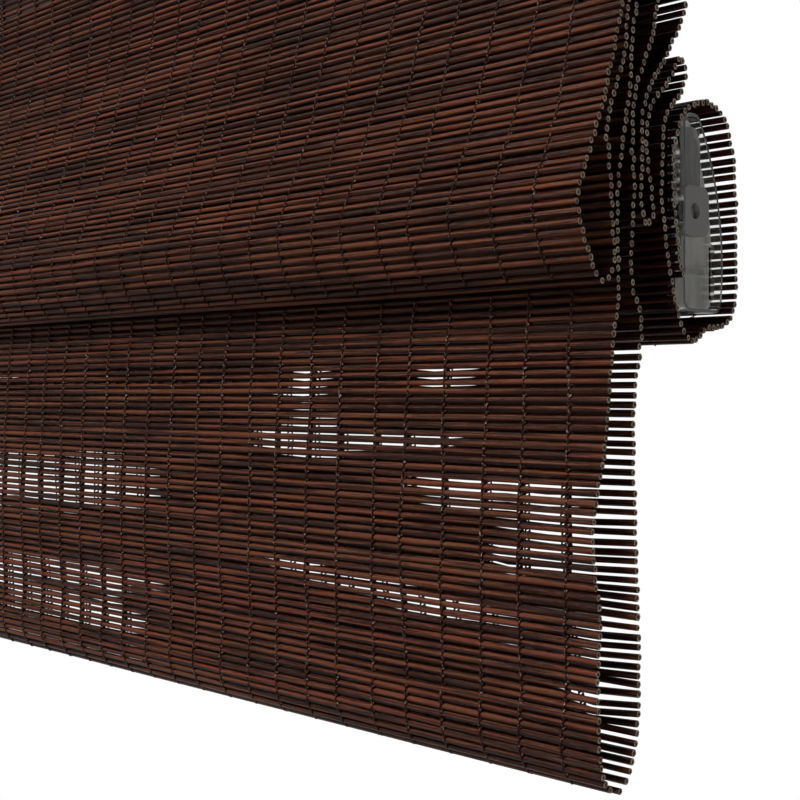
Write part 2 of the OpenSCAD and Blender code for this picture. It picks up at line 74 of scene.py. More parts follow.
class ReedSettings(bpy.types.PropertyGroup):
    """Sizes and colours of the woven reed mat."""

    reed_d: bpy.props.FloatProperty(
        name="Reed diameter", description="Diameter of one reed", default=1.8 * MM, unit="LENGTH")
    reed_spread: bpy.props.FloatProperty(
        name="Reed spread", description="Share by which reeds differ in thickness", default=0.06)
    reed_bow: bpy.props.FloatProperty(
        name="Reed bow", description="How far a reed wanders from a straight line", default=0.22 * MM,
        unit="LENGTH")
    end_spread: bpy.props.FloatProperty(
        name="End spread", description="How unevenly the reeds are cut to length", default=0.5 * MM,
        unit="LENGTH")
    edge_wander: bpy.props.FloatProperty(
        name="Edge wander", description="How far the side edge of the mat wanders", default=0.5 * MM,
        unit="LENGTH")
    back_share: bpy.props.FloatProperty(
        name="Back share", description="Share of its reeds that the back of the skirt keeps, woven looser",
        default=0.957)
    back_shift: bpy.props.FloatProperty(
        name="Back shift", description="How far the back of the skirt hangs lower than the front",
        default=-1.0 * MM, unit="LENGTH")
    fold_shift: bpy.props.FloatProperty(
        name="Fold shift", default=1.1 * MM, unit="LENGTH",
        description="How far the back of the front fold sits higher than the panel before it")
    patch_shift: bpy.props.FloatProperty(
        name="Patch shift", description="How far reeds have slipped where light shows through the skirt",
        default=1.2 * MM, unit="LENGTH")
    thread_pitch: bpy.props.FloatProperty(
        name="Thread pitch", description="Distance between two columns of thread", default=14.18 * MM,
        unit="LENGTH")
    thread_inset: bpy.props.FloatProperty(
        name="Thread inset", description="Distance from the left edge to the first column of thread",
        default=14.3 * MM, unit="LENGTH")
    thread_lean: bpy.props.FloatProperty(
        name="Thread lean", description="How far the columns lean to the left up the back of the skirt",
        default=8.5 * MM, unit="LENGTH")
    knot_width: bpy.props.FloatProperty(
        name="Knot width", description="Width of the knot where two threads cross between reeds",
        default=1.8 * MM, unit="LENGTH")
    knot_depth: bpy.props.FloatProperty(
        name="Knot depth", description="Depth of the knot, from the front of the mat to its back",
        default=2.2 * MM, unit="LENGTH")
    thread_d: bpy.props.FloatProperty(
        name="Thread diameter", description="Diameter of one twined thread", default=0.50 * MM,
        unit="LENGTH")
    dark_stain: bpy.props.FloatVectorProperty(
        name="Dark stain", description="Colour of the darkest reeds", default=(0.091, 0.0265, 0.0112),
        subtype="COLOR")
    red_stain: bpy.props.FloatVectorProperty(
        name="Red stain", description="Colour of the reddest reeds", default=(0.107, 0.0240, 0.0105),
        subtype="COLOR")
    cut_end: bpy.props.FloatVectorProperty(
        name="Cut end", description="Colour of the bare cane at a cut end", default=(0.80, 0.70, 0.54),
        subtype="COLOR")
    thread_colour: bpy.props.FloatVectorProperty(
        name="Thread", description="Colour of the twined thread", default=(0.046, 0.0150, 0.0095),
        subtype="COLOR")


class StageSettings(bpy.types.PropertyGroup):
    """Camera, lamps and floor."""

    camera_at: bpy.props.FloatVectorProperty(
        name="Camera", description="Place of the camera", default=(0.5036, -0.3373, -0.2125),
        subtype="TRANSLATION")
    lens: bpy.props.FloatProperty(name="Lens", description="Focal length in millimetres", default=60.75)
    horizon_shift: bpy.props.FloatProperty(
        name="Horizon", description="Shift of the view that puts the horizon where it is seen",
        default=-0.00625)
    floor_z: bpy.props.FloatProperty(
        name="Floor", description="Height of the floor under the hung blind", default=-1.75,
        unit="LENGTH")
    world_strength: bpy.props.FloatProperty(
        name="Room light", description="Even light from all round", default=0.025)


# Shader maths

# The middle of a noise, which runs from 0 to 1
NOISE_MIDDLE = 0.5


class Shade:
    """A shader socket with arithmetic, so that a mask reads as an expression."""

    def __init__(self, tree, socket):
        self.tree = tree
        self.socket = socket

    def node(self, kind, settings=None, out=0, **sockets):
        """Adds a node, sets it up, feeds its sockets and returns one of its outputs."""
        made = self.tree.nodes.new(kind)
        for key, value in (settings or {}).items():
            setattr(made, key, value)
        for key, value in sockets.items():
            target = made.inputs[int(key[1:])] if key[1:].isdigit() else made.inputs[key.replace("_", " ")]
            if isinstance(value, Shade):
                self.tree.links.new(value.socket, target)
            else:
                target.default_value = value
        return Shade(self.tree, made.outputs[out])

    def maths(self, operation, a, b):
        return self.node("ShaderNodeMath", {"operation": operation}, i0=a, i1=b)

    def __add__(self, other):
        return self.maths("ADD", self, other)

    def __sub__(self, other):
        return self.maths("SUBTRACT", self, other)

    def __rsub__(self, other):
        return self.maths("SUBTRACT", other, self)

    def __mul__(self, other):
        return self.maths("MULTIPLY", self, other)

    __radd__ = __add__
    __rmul__ = __mul__

    def swing(self, size):
        """A noise as a swing about zero, of the given size from end to end."""
        return (self - NOISE_MIDDLE) * size

    def above(self, low, high):
        """0 below low, 1 above high and smooth between."""
        return self.node("ShaderNodeMapRange", {"interpolation_type": "SMOOTHSTEP"},
                         Value=self, From_Min=low, From_Max=high)

    def mix(self, a, b):
        """Colour a where this mask is 0, colour b where it is 1."""
        return self.node("ShaderNodeMix", {"data_type": "RGBA"}, out=2, i0=self, i6=a, i7=b)


def rgba(colour):
    """A colour from the settings as a shader takes it."""
    return (*colour, 1.0)


class Finish:
    """A new material whose Principled shader is filled in by name."""

    def __init__(self, name, **constants):
        self.material = bpy.data.materials.new(name)
        self.material.use_nodes = True
        self.tree = self.material.node_tree
        self.shader = self.tree.nodes["Principled BSDF"]
        self.start = Shade(self.tree, None)
        for key, value in constants.items():
            self.shader.inputs[key.replace("_", " ")].default_value = value

    def place(self, scale):
        """The point on the piece at rest, in metres, times a scale along each axis."""
        spot = self.start.node("ShaderNodeTexCoord", out="Object")
        return self.start.node("ShaderNodeMapping", Vector=spot, Scale=scale)

    def noise(self, scale, detail=3.0, roughness=0.55):
        return self.start.node("ShaderNodeTexNoise", Vector=self.place(scale), Scale=1.0, Detail=detail,
                               Roughness=roughness)

    def attribute(self, name):
        return self.start.node("ShaderNodeAttribute", {"attribute_name": name}, out="Fac")

    def feed(self, **sockets):
        for key, value in sockets.items():
            self.tree.links.new(value.socket, self.shader.inputs[key.replace("_", " ")])

    def bump(self, height, strength, distance):
        self.feed(Normal=self.start.node("ShaderNodeBump", Height=height, Strength=strength,
                                         Distance=distance))


def stained_reed(settings):
    """Dark stained cane: each reed has its own tone, long streaks and a satin lacquer, with dark grain and
    painted shade in its fibre's grooves.
    """
    # Near black for the fibre's grooves and dark streaks: partly grain, partly painted shade where the bump
    # sinks
    groove_shade_and_grain = (0.014, 0.0028, 0.0008, 1)
    finish = Finish("stained_reed", Specular_IOR_Level=0.15, Specular_Tint=(1.0, 0.80, 0.70, 1))
    tone = finish.attribute("tone")
    streak = finish.noise((14, 700, 700), 4.0)
    patch = finish.noise((22, 160, 160), 2.0)
    red = (tone * 0.7 + streak.swing(0.9) + patch.swing(1.3)).above(0.20, 0.85)
    fibre = finish.noise((30, 1300, 1300), 4.0, 0.7)
    stain = red.mix(rgba(settings.dark_stain), rgba(settings.red_stain))
    # Low fibre and dark streaks take the groove colour: painted shade in the bump's grooves, and dark grain
    raised = (fibre + streak.swing(0.8)).above(0.43, 0.59)
    finish.feed(Base_Color=raised.mix(groove_shade_and_grain, stain), Roughness=0.16 + fibre * 0.26)
    finish.bump(fibre, 1.0, 0.0006)
    return finish.material


def bare_cane(settings):
    """The pale ring of bare cane at a cut end."""
    stained = (0.13, 0.085, 0.05, 1)
    finish = Finish("bare_cane", Roughness=0.75)
    fleck = finish.noise((700, 900, 900), 3.0)
    finish.feed(Base_Color=fleck.above(0.30, 0.72).mix(stained, rgba(settings.cut_end)))
    return finish.material


def cane_core():
    """The darker pith in the middle of a cut end."""
    dark, pale = (0.03, 0.017, 0.010, 1), (0.15, 0.10, 0.06, 1)
    finish = Finish("cane_core", Roughness=0.9)
    fleck = finish.noise((700, 900, 900), 3.0)
    finish.feed(Base_Color=fleck.above(0.3, 0.8).mix(dark, pale))
    return finish.material


def twisted_thread(settings):
    """Dark polyester thread, with painted shade in the hollows of its twist and small painted glints along
    it.
    """
    # Near black is painted shade for the hollows of the twist; the pale colour is a painted highlight for
    # glints
    twist_hollow_shade, painted_glint = (0.007, 0.0025, 0.0017, 1), (0.27, 0.20, 0.165, 1)
    finish = Finish("twisted_thread", Roughness=0.35, Specular_IOR_Level=0.06,
                    Specular_Tint=(1.0, 0.7, 0.6, 1))
    twist = finish.noise((1800, 1800, 1800), 2.0)
    # Low twist noise takes the near-black colour: painted shade in the hollows of the twist
    colour = twist.above(0.40, 0.70).mix(twist_hollow_shade, rgba(settings.thread_colour))
    # Pale flecks on the twist are a painted highlight that stands in for glints
    finish.feed(Base_Color=twist.above(0.59, 0.66).mix(colour, painted_glint))
    return finish.material


def stained_board():
    """Planed softwood with a brown stain and long grain along the board."""
    dark, pale = (0.060, 0.030, 0.016, 1), (0.17, 0.092, 0.048, 1)
    finish = Finish("stained_board", IOR=1.45)
    grain = finish.noise((5, 160, 160), 6.0, 0.6)
    pore = finish.noise((40, 1500, 1500), 2.0)
    figure = (grain + pore.swing(0.25)).above(0.32, 0.72)
    finish.feed(Base_Color=figure.mix(dark, pale), Roughness=0.45 + pore * 0.2)
    finish.bump(pore, 0.3, 0.0003)
    return finish.material


def zinc_steel():
    """Zinc plated steel strip, faintly clouded."""
    dark, pale = (0.50, 0.51, 0.52, 1), (0.68, 0.68, 0.67, 1)
    finish = Finish("zinc_steel", Metallic=1.0)
    cloud = finish.noise((120, 120, 120), 4.0)
    finish.feed(Base_Color=cloud.mix(dark, pale), Roughness=0.28 + cloud * 0.2)
    return finish.material


def bright_steel():
    """Drawn steel with fine lines along it."""
    dark, pale = (0.55, 0.56, 0.58, 1), (0.70, 0.70, 0.71, 1)
    finish = Finish("bright_steel", Metallic=1.0)
    line = finish.noise((20, 3000, 3000), 2.0)
    finish.feed(Base_Color=line.mix(dark, pale), Roughness=0.22 + line * 0.2)
    return finish.material


def turned_brass():
    """Plain brass with turning marks."""
    dark, pale = (0.55, 0.38, 0.14, 1), (0.72, 0.54, 0.24, 1)
    finish = Finish("turned_brass", Metallic=1.0)
    mark = finish.noise((400, 400, 3000), 2.0)
    finish.feed(Base_Color=mark.mix(dark, pale), Roughness=0.25 + mark * 0.2)
    return finish.material


def braided_cord():
    """Brown braided polyester, with the braid as fine flecks along the cord."""
    dark, pale = (0.030, 0.016, 0.010, 1), (0.10, 0.058, 0.040, 1)
    finish = Finish("braided_cord", Roughness=0.8)
    braid = finish.noise((1500, 1500, 700), 2.0)
    finish.feed(Base_Color=braid.above(0.35, 0.7).mix(dark, pale))
    finish.bump(braid, 0.6, 0.0002)
    return finish.material


def moulded_plastic(name, dark, pale):
    """Opaque moulded plastic with a fine satin texture."""
    finish = Finish(name, IOR=1.48)
    grain = finish.noise((900, 900, 900), 2.0)
    finish.feed(Base_Color=grain.mix(dark, pale), Roughness=0.38 + grain * 0.15)
    finish.bump(grain, 0.08, 0.0002)
    return finish.material


def further_out(outward, depths):
    """1 on what lies further out, at either end of the rail, than these depths below a rim's edge."""
    low, high = ((CAP_FACE - depth) ** 2 for depth in depths)
    return (outward * outward).above(low, high)


def milky_plastic():
    """Moulded plastic of an end cap, milky on its plate, smokier on the pad and the boss, and near black, as
    painted shade, on what lies inside the rail.
    """
    # The inside colour is painted shade: near black on the parts of the cap that lie inside the rail
    inside, smoky = (0.05, 0.05, 0.048, 1), (0.50, 0.49, 0.455, 1)
    finish = Finish("milky_plastic", IOR=1.49, Transmission_Weight=0.42)
    flow = finish.noise((60, 220, 60), 3.0)
    outward = finish.start.node("ShaderNodeSeparateXYZ", out="X", Vector=finish.place((1, 1, 1)))
    plate, pad, boss = (further_out(outward, depths) for depths in (PLATE_DEPTHS, PAD_DEPTHS, BOSS_DEPTHS))
    streak = flow.above(0.35, 0.65)
    thin = streak.mix((0.66, 0.65, 0.60, 1), (0.90, 0.885, 0.83, 1))
    thick = streak.mix((0.24, 0.235, 0.215, 1), (0.37, 0.36, 0.335, 1))
    # Deeper than the plate the cap takes the inside colour, painted shade of the rail's inside
    tone = pad.mix(plate.mix(inside, thin), thick)
    finish.feed(Base_Color=boss.mix(tone, smoky), Roughness=0.06 + flow * 0.16)
    finish.bump(flow, 0.12, 0.0006)
    return finish.material


def clear_plastic():
    """Clear moulded plastic of the end caps' thin rims."""
    dark, pale = (0.74, 0.74, 0.72, 1), (0.90, 0.90, 0.88, 1)
    finish = Finish("clear_plastic", IOR=1.49, Transmission_Weight=0.97)
    flow = finish.noise((60, 220, 60), 3.0)
    finish.feed(Base_Color=flow.mix(dark, pale), Roughness=0.02 + flow * 0.08)
    finish.bump(flow, 0.12, 0.0006)
    return finish.material


def bronze_aluminium():
    """Dark bronze anodised extrusion with die lines along its length."""
    dark, pale = (0.030, 0.022, 0.018, 1), (0.055, 0.042, 0.034, 1)
    finish = Finish("bronze_aluminium", Metallic=0.6)
    line = finish.noise((6, 2200, 2200), 3.0)
    finish.feed(Base_Color=line.mix(dark, pale), Roughness=0.38 + line * 0.2)
    return finish.material


# Reading the folded mat from its CAD node

# The lowest reeds in the back of the skirt, which are woven looser than the rest
LOOSE_REEDS = 70

# Corners of a mat node that are closer than this are one
NEAR = 1e-6


def end_outline(node):
    """The corners [y, z] of a mat node's right end face, in order round its edge."""
    shape = bmesh.new()
    shape.from_mesh(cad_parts[node].data)
    bmesh.ops.remove_doubles(shape, verts=shape.verts, dist=NEAR)
    end_x = max(v.co.x for v in shape.verts) - NEAR
    onward = {}
    for edge in shape.edges:
        if min(v.co.x for v in edge.verts) < end_x:
            continue
        caps = [f for f in edge.link_faces if all(v.co.x > end_x for v in f.verts)]
        if len(caps) == 1:
            a, b = edge.verts
            onward.setdefault(a.index, []).append(b.index)
            onward.setdefault(b.index, []).append(a.index)
    spots = {v.index: (v.co.y, v.co.z) for v in shape.verts}
    shape.free()
    first = next(iter(onward))
    loop = [first]
    step = onward[first][0]
    while step != first:
        loop.append(step)
        step = next(n for n in onward[step] if n != loop[-2])
    return np.array([spots[i] for i in loop])


class MatRun:
    """A run of reeds: the centre of each reed [y, z] and the direction across the mat there."""

    def __init__(self, centres, across):
        self.centres = centres
        self.across = across

    def part(self, first, last):
        return MatRun(self.centres[first:last], self.across[first:last])

    def respaced(self, first, last, count, shift, fades=(3, 3)):
        """The same run with count even steps between two of its reeds, moved along the mat by a shift.

        fades tells over how many reeds the shift fades out at the upper and the lower end.
        """
        steps = np.linalg.norm(np.diff(self.centres, axis=0), axis=1)
        lengths = np.concatenate([[0], np.cumsum(steps)])
        step = np.arange(1, count)
        fresh = np.linspace(lengths[first], lengths[last], count + 1)[1:-1]
        fresh += shift * np.minimum(1, np.minimum(step / fades[0], (count - step) / fades[1]))
        new = [np.column_stack([np.interp(fresh, lengths, column) for column in field.T])
               for field in (self.centres, self.across)]
        centres = np.concatenate([self.centres[:first + 1], new[0], self.centres[last:]])
        across = np.concatenate([self.across[:first + 1], new[1], self.across[last:]])
        return MatRun(centres, across / np.linalg.norm(across, axis=1)[:, None])

    def __len__(self):
        return len(self.centres)


def read_mat(node):
    """Pairs the crests of both faces of a mat node into reeds, from its upper end to its lower one."""
    loop = end_outline(node)
    gaps = np.linalg.norm(loop - np.roll(loop, -1, axis=0), axis=1)
    start = int(np.argmin(gaps)) + 1
    loop = np.roll(loop, -start, axis=0)
    half = len(loop) // 2
    front, back = loop[:half], loop[half:][::-1]
    front, back = front[1::2], back[1::2]
    across = front - back
    across /= np.linalg.norm(across, axis=1)[:, None]
    return MatRun((front + back) / 2, across)


# Meshes

# Split cane is a much rounded square that stands on a corner: its corners, the angle from a corner to the
# ends of its rounding, how far a reed is turned about its length at random, by what share it may be flatter
# than it is wide, the share of a cut end that is pith, and the power that makes red reeds the fewer
CORNERS = 4
REED_SIDES = 2 * CORNERS
ROUNDING = np.radians(21)
REED_TURN = np.radians(13)
FLATTEST = 0.12
PITH = 0.52
RED_POWER = 1.6

# Waves in a reed's bow, as their number along the reed and their share, and in the mat's side edge, as their
# share, the reeds to a radian and the phase
BOW_WAVES = ((0.7, 0.6), (1.7, 0.3), (3.9, 0.15))
EDGE_WAVES = ((0.6, 5.1, 2.2), (0.4, 2.6, 0.6))

# Threads, in shares of their radius: how far the middle of one lies off a reed, how flat one is and how far
# two swing apart where they cross
THREAD_LIE = 0.3
THREAD_FLAT = 0.6
THREAD_APART = 0.9

# Powers that lay a thread flat on a reed and that keep the knots short
SWING_POWER = 0.6
KNOT_POWER = 6

# How far a column of thread strays from reed to reed and as a whole, and the reeds over which it leans
COLUMN_WALK = 0.18 * MM
COLUMN_SPREAD = 0.5 * MM
LEAN_REEDS = 24

# Rings and sides of a lift cord
CORD_LEVELS = 40
CORD_SIDES = 10

# Places in the back of the skirt where reeds have slipped behind those in front, so that light shows
# through: x, z, half length and half height in millimetres
SEE_THROUGH = ((179, -216, 13, 21), (170, -221, 21, 11), (240, -205, 17, 7), (212, -226.5, 36, 3),
               (262, -240, 42, 6.5), (280, -254, 26, 9), (165, -267, 20, 3.5), (200, -270.5, 26, 4),
               (236, -273.5, 26, 5), (276, -278, 27, 6.5), (290, -292, 12, 4.5), (20, -246, 82, 14),
               (30, -291, 80, 15), (-20, -201, 30, 6), (-150, -222, 34, 12), (-240, -262, 46, 10),
               (-125, -288, 40, 8))

# Powers that give a patch sharp ends and softer upper and lower edges, the number of reeds that slip together
# and the share by which one such group differs from the next
PATCH_POWERS = (6, 4)
SLIP_GROUP = 4
SLIP_SPREAD = 0.22

# How far the right edge of the skirt's front is cut back at some heights, in millimetres
SKIRT_EDGE = ((-312, 1.6), (-300, 2.8), (-285, 3.8), (-270, 2.3), (-252, 4.4), (-243, 3.8), (-228, 1.6),
              (-205, 0.6), (-190, 0))


def new_piece(name, points, faces, materials, face_material=None, smooth=True, tone=None):
    """A mesh object from lists of points and faces, with a tone for each point where one is given."""
    mesh = bpy.data.meshes.new(name)
    mesh.from_pydata(points, [], faces)
    for material in materials:
        mesh.materials.append(material)
    if face_material is not None:
        mesh.polygons.foreach_set("material_index", face_material)
    mesh.polygons.foreach_set("use_smooth", np.full(len(mesh.polygons), smooth))
    if tone is not None:
        mesh.attributes.new("tone", "FLOAT", "POINT").data.foreach_set("value", tone.astype(np.float32))
    mesh.update()
    piece = bpy.data.objects.new(name, mesh)
    bpy.context.scene.collection.objects.link(piece)
    return piece


def tube_faces(index):
    """Faces between the rings of a tube, from the numbers of its points by ring and place round the ring."""
    after = np.roll(index, -1, axis=-1)
    corners = [index[..., :-1, :], after[..., :-1, :], after[..., 1:, :], index[..., 1:, :]]
    return np.stack(corners, axis=-1).reshape(-1, 4)


def wander(random, count, places, size):
    """A smooth random offset for each of count reeds, at places along it from -1 to 1."""
    total = np.zeros((count, len(places)))
    for waves, share in BOW_WAVES:
        phase = random.uniform(0, 2 * np.pi, (count, 1))
        total += share * np.sin(waves * np.pi * places[None, :] + phase)
    return size * total


def slipped(x, z):
    """How far reeds at [x, z] belong to a see-through patch, from 0 to 1."""
    share = np.zeros(np.broadcast(x, z).shape)
    end_power, edge_power = PATCH_POWERS
    for at_x, at_z, half_x, half_z in np.array(SEE_THROUGH) * MM:
        inside = np.exp(-((x - at_x) / half_x) ** end_power) * np.exp(-((z - at_z) / half_z) ** edge_power)
        share = np.maximum(share, inside)
    return share


def thread_columns(settings):
    """Places along the reeds where a column of thread runs."""
    edge = settings.thread_inset - HALF_WIDTH
    return np.arange(edge, -edge, settings.thread_pitch)


def edge_shift(count, size):
    """A slow sideways wander of the mat's edge, reed by reed."""
    reed = np.arange(count)
    return size * sum(share * np.sin(reed / length + phase) for share, length, phase in EDGE_WAVES)


def weave_reeds(name, run, settings, materials, seed, places, slip=None, cut_back=0.0):
    """Split reeds along X with uneven thickness, a slight bow and cut ends with a pale ring.

    Each reed bends at the given places along it, from -1 to 1, slip lists the reeds that slip along the mat
    in the see-through patches, and cut_back is how much shorter each reed is at its right end.
    """
    random = np.random.default_rng(seed)
    count, stations = len(run), len(places)
    along = np.stack([run.across[:, 1], -run.across[:, 0]], axis=1)
    turn = (np.arange(CORNERS)[:, None] * np.pi / 2 + np.array([-ROUNDING, ROUNDING])).ravel()
    turn = turn + random.normal(0, REED_TURN, (count, 1))
    radius = settings.reed_d / 2 * (1 + settings.reed_spread * random.standard_normal(count).clip(-2, 2))
    flat = 1 - FLATTEST * random.random(count)
    ends = HALF_WIDTH - settings.edge_wander - settings.end_spread * random.random((count, 2))
    ends[:, 1] -= cut_back
    x = np.where(places[None, :] < 0, ends[:, :1], ends[:, 1:]) * places[None, :]
    x += edge_shift(count, settings.edge_wander)[:, None]
    lift = wander(random, count, places, settings.reed_bow)
    drift = wander(random, count, places, settings.reed_bow)
    if slip is not None:
        share = slipped(x[slip], run.centres[slip, 1][:, None])
        groups = random.standard_normal((len(slip) // SLIP_GROUP + 1, stations))
        uneven = 1 + SLIP_SPREAD * np.repeat(groups, SLIP_GROUP, axis=0)[:len(slip)]
        drift[slip] += settings.patch_shift * share * uneven
    ring_a = radius[:, None] * np.cos(turn)
    ring_b = (radius * flat)[:, None] * np.sin(turn)
    yz = (run.centres[:, None, None, :]
          + (drift[:, :, None, None] + ring_a[:, None, :, None]) * along[:, None, None, :]
          + (lift[:, :, None, None] + ring_b[:, None, :, None]) * run.across[:, None, None, :])
    tube = np.concatenate([np.broadcast_to(x[:, :, None, None], yz.shape[:3] + (1,)), yz], axis=3)
    tips = tube[:, [0, -1]]
    middle = tips.mean(axis=2, keepdims=True)
    core = middle + (tips - middle) * PITH
    points = np.concatenate([part.reshape(-1, 3) for part in (tube, tips, core, middle)])
    index = np.arange(count * stations * REED_SIDES).reshape(count, stations, REED_SIDES)
    sides = tube_faces(index)
    tip = index.size + np.arange(count * 2 * REED_SIDES).reshape(count, 2, REED_SIDES)
    inner = tip + tip.size
    hub = index.size + 2 * tip.size + np.arange(count * 2).reshape(count, 2, 1)
    rings = np.stack([tip, inner, np.roll(inner, -1, axis=2), np.roll(tip, -1, axis=2)], axis=-1)
    rings[:, 1] = rings[:, 1, :, ::-1]
    discs = np.stack([inner, np.broadcast_to(hub, inner.shape), np.roll(inner, -1, axis=2)], axis=-1)
    discs[:, 1] = discs[:, 1, :, ::-1]
    faces = sides.tolist() + rings.reshape(-1, 4).tolist() + discs.reshape(-1, 3).tolist()
    kinds = np.repeat([0, 1, 2], [len(sides), tip.size, tip.size])
    tone = random.random(count) ** RED_POWER
    shares = (stations * REED_SIDES, 2 * REED_SIDES, 2 * REED_SIDES, 2)
    tones = np.concatenate([np.repeat(tone, share) for share in shares])
    return new_piece(name, points.tolist(), faces, materials, kinds, tone=tones)


def weave_threads(name, run, settings, material, seed, steps, sides=4, lean=0.0):
    """Columns of two threads twined round each other and over every reed.

    steps sets how round the threads bend, and lean how far a column leans to the left from the last reed up.
    """
    random = np.random.default_rng(seed)
    count = len(run)
    radius = settings.thread_d / 2
    reach = settings.reed_d / 2 + radius * THREAD_LIE
    fine = np.arange((count - 1) * steps + 1) / steps
    low = np.minimum(fine.astype(int), count - 2)
    share = (fine - low)[:, None]
    centre = run.centres[low] * (1 - share) + run.centres[low + 1] * share
    across = run.across[low] * (1 - share) + run.across[low + 1] * share
    across /= np.linalg.norm(across, axis=1)[:, None]
    swing = np.cos(np.pi * fine)
    swing = np.sign(swing) * np.abs(swing) ** SWING_POWER
    twist = np.sin(np.pi * fine)
    knot = np.abs(twist) ** KNOT_POWER
    half_wide = radius + (settings.knot_width / 2 - radius) * knot
    half_deep = THREAD_FLAT * radius + (settings.knot_depth / 2 - THREAD_FLAT * radius) * knot
    corners = 2 * np.pi * (np.arange(sides) + 0.5) / sides
    made_points, made_faces, base = [], [], 0
    for column in thread_columns(settings):
        walk = np.cumsum(random.normal(0, COLUMN_WALK, count))
        walk -= np.linspace(0, walk[-1], count)
        walk -= lean * np.clip(np.arange(count)[::-1] / LEAN_REEDS, 0, 1)
        x = column + random.normal(0, COLUMN_SPREAD) + np.interp(fine, np.arange(count), walk)
        for strand in (-1, 1):
            yz = centre + strand * (reach * swing)[:, None] * across
            heading = np.gradient(yz, axis=0)
            heading /= np.linalg.norm(heading, axis=1)[:, None] + 1e-12
            normal = np.stack([-heading[:, 1], heading[:, 0]], axis=1)
            middle = np.column_stack([x + strand * radius * THREAD_APART * twist, yz])
            wide = half_wide[:, None, None] * np.cos(corners)[None, :, None] * np.array([1.0, 0, 0])
            deep = half_deep[:, None, None] * np.sin(corners)[None, :, None]
            points = middle[:, None, :] + wide + deep * np.insert(normal, 0, 0, axis=1)[:, None, :]
            index = base + np.arange(len(fine) * sides).reshape(-1, sides)
            made_points.append(points.reshape(-1, 3))
            made_faces.append(tube_faces(index))
            base += index.size
    points, faces = np.concatenate(made_points), np.concatenate(made_faces)
    return new_piece(name, points.tolist(), faces.tolist(), [material])


def finish_node(node, material):
    """Gives a CAD node its finish."""
    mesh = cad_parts[node].data
    mesh.materials.clear()
    mesh.materials.append(material)


def finish_rim(node, material):
    """Gives the faces that reach the outer edge of an end cap's rim a finish of their own."""
    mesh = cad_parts[node].data
    mesh.materials.append(material)
    for face in mesh.polygons:
        if max(abs(mesh.vertices[i].co.x) for i in face.vertices) > CAP_FACE - RIM_MARGIN:
            face.material_index = 1


def keep_material(name, make, *args):
    """One material per finish, made when it is first needed."""
    return bpy.data.materials.get(name) or make(*args)


def mat_finishes(settings):
    return [keep_material("stained_reed", stained_reed, settings),
            keep_material("bare_cane", bare_cane, settings),
            keep_material("cane_core", cane_core)]


def thread_finish(settings):
    return keep_material("twisted_thread", twisted_thread, settings)


def bend_panel(piece):
    """Bakes the front panel's place into its points. On the blind, the panel hangs from the headrail and its
    loop goes down half as far as the rail.
    """
    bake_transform(piece)


def bend_fold(piece):
    """Bakes the front fold's place into its points. On the blind, the back of the front fold joins the loop
    to the stack that rides on the rail.
    """
    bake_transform(piece)


# Places where reeds bend that are mostly hidden, from -1 to 1 along them
FEW_BENDS = np.linspace(-1, 1, 12)


def bends(settings):
    """Reeds that are seen closely bend a little at every column of thread."""
    return np.concatenate([[-1], thread_columns(settings) / HALF_WIDTH, [1]])


# Operators, one for each piece or group of like pieces

class BLIND_OT_front_panel(bpy.types.Operator):
    """Weaves the mat that hangs from the headrail to the front fold's belly"""

    bl_idname = "blind.front_panel"
    bl_label = "Weave front panel"

    def execute(self, context):
        settings = context.scene.blind_reeds
        run = read_mat("front_panel")
        reeds = weave_reeds("front_panel_reeds", run, settings, mat_finishes(settings), 11, bends(settings))
        threads = weave_threads("front_panel_threads", run, settings, thread_finish(settings), 12,
                                steps=4, sides=3)
        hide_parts("front_panel")
        for piece in (reeds, threads):
            bend_panel(piece)
        return {"FINISHED"}


class BLIND_OT_front_fold(bpy.types.Operator):
    """Weaves the front fold, from its loop up to the upper cord ring"""

    bl_idname = "blind.front_fold"
    bl_label = "Weave front fold"

    def execute(self, context):
        settings = context.scene.blind_reeds
        run = read_mat("front_fold")
        run = run.respaced(0, len(run) - 1, len(run) - 1, settings.fold_shift)
        reeds = weave_reeds("front_fold_reeds", run, settings, mat_finishes(settings), 21, FEW_BENDS)
        threads = weave_threads("front_fold_threads", run, settings, thread_finish(settings), 22,
                                steps=1, sides=3)
        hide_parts("front_fold")
        for piece in (reeds, threads):
            bend_fold(piece)
        return {"FINISHED"}


# How far below the rail the skirt's back comes into view, and how many reeds of its front are in view
BACK_IN_VIEW = 14 * MM
FRONT_REEDS = 55


